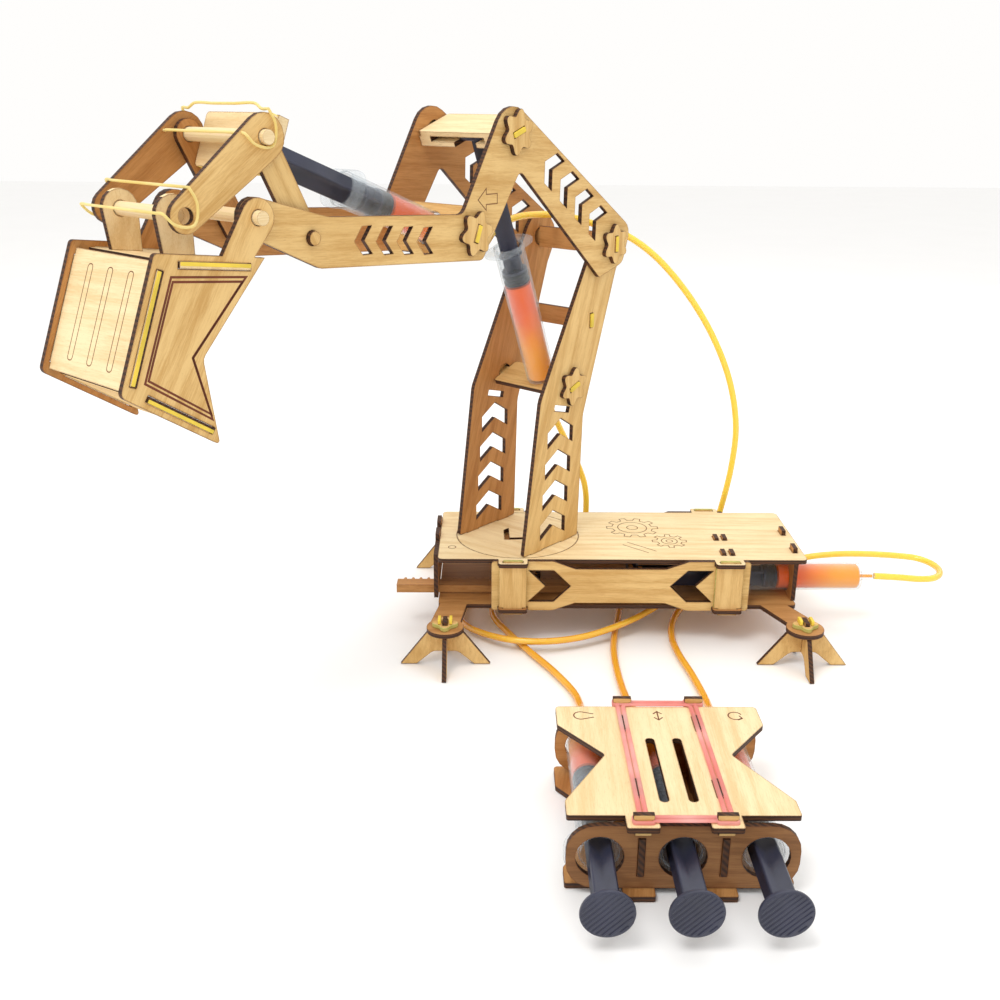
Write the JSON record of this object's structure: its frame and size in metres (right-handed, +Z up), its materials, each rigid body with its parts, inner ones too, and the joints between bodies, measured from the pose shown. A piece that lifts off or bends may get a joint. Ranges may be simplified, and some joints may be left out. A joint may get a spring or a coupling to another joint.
{
  "type": "plywood hydraulic excavator arm kit",
  "caption": "Laser-cut plywood excavator arm on a slewing base, worked by syringes and tubes from a hand controller with matching syringes.",
  "frame": {"origin": "bottom centre of the kit's box without the hoses, on the surface that the feet and the controller stand on", "axes": "+Z up, square to the deck; +X along the base towards its syringe; +Y from the controller towards the base"},
  "size_m": [0.4685, 0.3852, 0.2996],
  "materials": {
    "plywood": "laser-cut birch plywood, burnt edges",
    "dowel": "bare round dowel",
    "clear_barrel": "clear moulded syringe barrel",
    "dark_plunger": "dark moulded plunger",
    "tubing": "soft translucent tube filled with coloured liquid"
  },
  "bodies": {
    "base": {"deck_plate": "plywood", "floor_plate": "plywood", "front_panel": "plywood", "rear_panel": "plywood", "end_plate": "plywood", "left_plate": "plywood", "flange_clamp_1": "plywood", "flange_clamp_2": "plywood", "foot_front_left": "plywood", "foot_front_right": "plywood", "foot_rear_left": "plywood", "foot_rear_right": "plywood", "turn_barrel": "clear_barrel", "hose_turn": "tubing", "hose_lift_lower": "tubing", "hose_grab_lower": "tubing", "controller_cover": "plywood", "controller_floor": "plywood", "controller_front": "plywood", "controller_rear": "plywood", "controller_spine_1": "plywood", "controller_spine_2": "plywood", "control_barrel_grab": "clear_barrel", "control_barrel_lift": "clear_barrel", "control_barrel_turn": "clear_barrel"},
    "turntable": {"turn_pinion": "plywood", "turntable_disc": "plywood", "mast_near": "plywood", "mast_far": "plywood", "mast_brace": "plywood", "rear_axle": "plywood", "hose_lift_upper": "tubing"},
    "rack": {"rack_bar": "plywood", "turn_plunger": "dark_plunger"},
    "boom": {"arm_near": "plywood", "arm_far": "plywood", "hose_grab_upper": "tubing"},
    "lift_cylinder": {"lift_cradle": "plywood", "lift_barrel": "clear_barrel"},
    "lift_rod": {"lift_plunger": "dark_plunger", "lift_yoke": "plywood"},
    "grab_cylinder": {"grab_cradle": "plywood", "grab_barrel": "clear_barrel"},
    "grab_rod": {"grab_plunger": "dark_plunger", "grab_yoke": "plywood"},
    "rocker": {"rocker_near": "plywood", "rocker_far": "plywood", "top_dowel": "dowel"},
    "coupler": {"coupler_near": "plywood", "coupler_far": "plywood"},
    "bucket": {"bucket_side_near": "plywood", "bucket_side_far": "plywood", "bucket_top": "plywood", "bucket_back": "plywood", "bucket_bottom": "plywood", "lower_dowel": "dowel", "tip_dowel": "dowel"},
    "control_grab_plunger": {"control_plunger_grab": "dark_plunger"},
    "control_lift_plunger": {"control_plunger_lift": "dark_plunger"},
    "control_turn_plunger": {"control_plunger_turn": "dark_plunger"}
  },
  "joints": [
    {"name": "slew", "type": "hinge", "parent": "base", "child": "turntable", "pos_m": [-0.00608, 0.1016, 0.052], "axis": [0, 0, 1], "range_deg": [-90, 45], "deforming": ["hose_lift_lower", "hose_lift_upper", "hose_grab_lower"]},
    {"name": "rack_travel", "type": "slide", "parent": "base", "child": "rack", "axis": [1, 0, 0], "range_m": [-0.02151, 0.0109]},
    {"name": "control_turn", "type": "slide", "parent": "base", "child": "control_turn_plunger", "axis": [0, 1, 0], "range_m": [-0.0109, 0.02151]},
    {"name": "lift", "type": "hinge", "parent": "turntable", "child": "boom", "pos_m": [0.0246, 0.1352, 0.226], "axis": [-0.7385, 0.6743, 0], "range_deg": [-28, 12], "deforming": ["hose_grab_upper"]},
    {"name": "lift_swing", "type": "hinge", "parent": "turntable", "child": "lift_cylinder", "pos_m": [0.00376, 0.11238, 0.1475], "axis": [-0.7385, 0.6743, 0], "range_deg": [-17.24, 7.68]},
    {"name": "lift_stroke", "type": "slide", "parent": "lift_cylinder", "child": "lift_rod", "axis": [-0.245, -0.2683, 0.9317], "range_m": [-0.0306, 0.01329]},
    {"name": "control_lift", "type": "slide", "parent": "base", "child": "control_lift_plunger", "axis": [0, 1, 0], "range_m": [-0.0306, 0.01329]},
    {"name": "bucket_curl", "type": "hinge", "parent": "boom", "child": "bucket", "pos_m": [-0.14074, -0.04587, 0.2568], "axis": [-0.7385, 0.6743, 0], "range_deg": [-24, 35]},
    {"name": "rocker_swing", "type": "hinge", "parent": "boom", "child": "rocker", "pos_m": [-0.12112, -0.02438, 0.2463], "axis": [-0.7385, 0.6743, 0], "range_deg": [-11.56, 16.64]},
    {"name": "coupler_swing", "type": "hinge", "parent": "rocker", "child": "coupler", "pos_m": [-0.13521, -0.03981, 0.2875], "axis": [-0.7385, 0.6743, 0], "range_deg": [-2.37, 3.23]},
    {"name": "grab_swing", "type": "hinge", "parent": "boom", "child": "grab_cylinder", "pos_m": [-0.05328, 0.04991, 0.2405], "axis": [-0.7385, 0.6743, 0], "range_deg": [-3.36, 4.67]},
    {"name": "grab_stroke", "type": "slide", "parent": "grab_cylinder", "child": "grab_rod", "axis": [-0.6289, -0.6887, 0.3608], "range_m": [-0.00926, 0.00644]},
    {"name": "control_grab", "type": "slide", "parent": "base", "child": "control_grab_plunger", "axis": [0, 1, 0], "range_m": [-0.00926, 0.00644]}
  ],
  "couplings": [
    {"joint": "rack_travel", "follows": "slew", "m_per_rad": 0.0135},
    {"joint": "control_turn", "follows": "slew", "m_per_rad": -0.0135},
    {"joint": "lift_swing", "follows": "lift", "ratio": 0.598},
    {"joint": "lift_stroke", "follows": "lift", "m_per_rad": 0.062},
    {"joint": "control_lift", "follows": "lift", "m_per_rad": 0.062},
    {"joint": "rocker_swing", "follows": "bucket_curl", "ratio": 0.461},
    {"joint": "coupler_swing", "follows": "bucket_curl", "ratio": 0.078},
    {"joint": "grab_swing", "follows": "bucket_curl", "ratio": 0.119},
    {"joint": "grab_stroke", "follows": "bucket_curl", "m_per_rad": -0.01466},
    {"joint": "control_grab", "follows": "bucket_curl", "m_per_rad": -0.01466}
  ]
}
